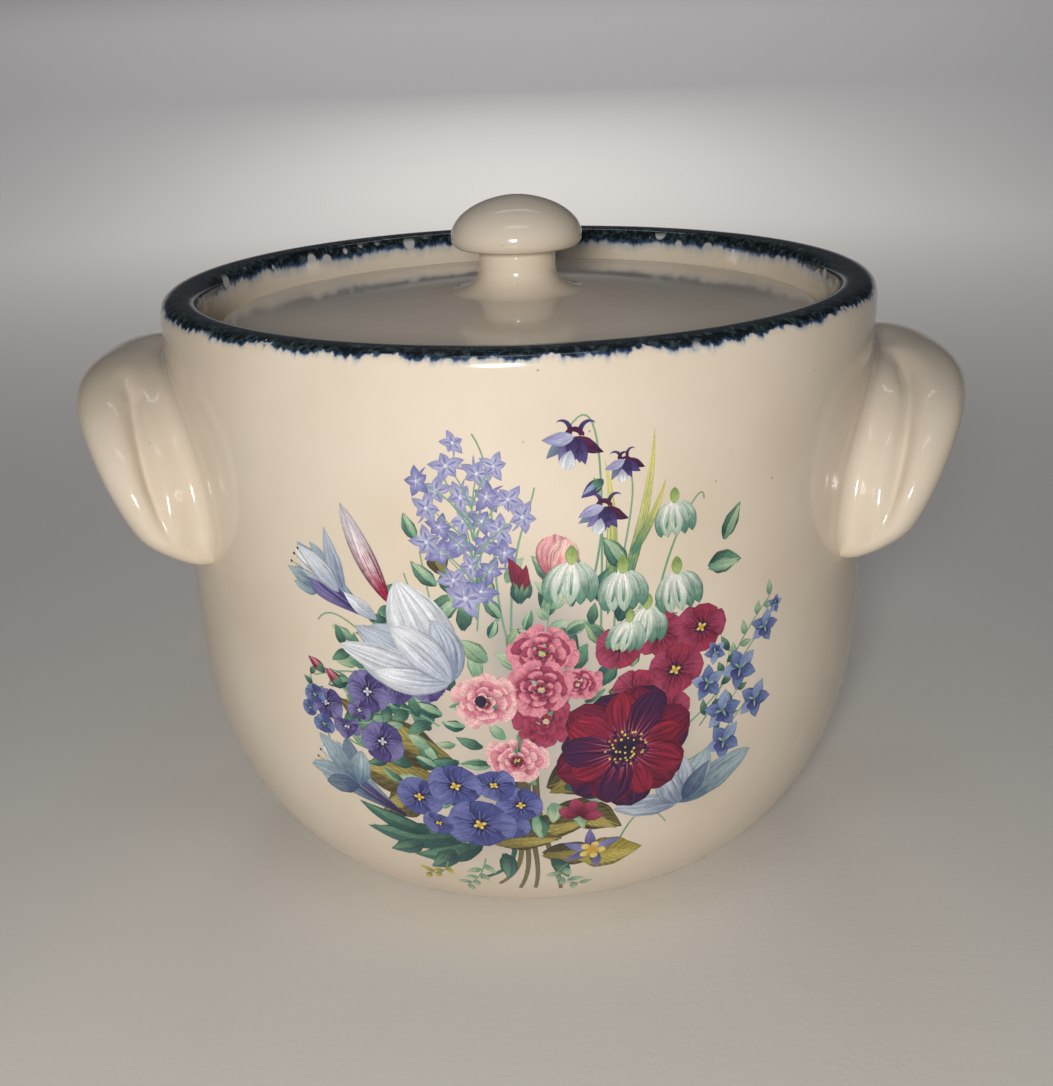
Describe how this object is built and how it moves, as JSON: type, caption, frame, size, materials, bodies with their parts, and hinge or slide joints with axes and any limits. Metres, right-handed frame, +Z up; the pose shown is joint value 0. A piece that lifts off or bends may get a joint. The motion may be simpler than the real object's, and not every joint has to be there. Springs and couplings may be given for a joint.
{
  "type": "butter crock",
  "caption": "Round lidded stoneware crock with two grooved ear handles, a sunk lid with a mushroom knob, and a printed flower bouquet.",
  "frame": {"origin": "centre of the foot ring, on the surface that the crock stands on", "axes": "+Z up along the pot's axis; +X towards the right handle; the flower transfer faces -Y"},
  "size_m": [0.1748, 0.1401, 0.1296],
  "materials": {
    "cream_glaze": "gloss glazed stoneware, dark blue sponged rim",
    "handle_glaze": "gloss glazed stoneware",
    "lid_glaze": "gloss glazed stoneware",
    "flower_ink": "fired-on printed colours under a gloss glaze"
  },
  "bodies": {
    "crock": {"crock_body": "cream_glaze", "left_handle": "handle_glaze", "right_handle": "handle_glaze", "flower_transfer": "flower_ink"},
    "lid": {"lid": "lid_glaze", "lid_knob": "lid_glaze"}
  },
  "joints": [
    {"name": "lid_lift", "type": "slide", "parent": "crock", "child": "lid", "axis": [0, 0, 1], "range_m": [0, 0.06]}
  ]
}
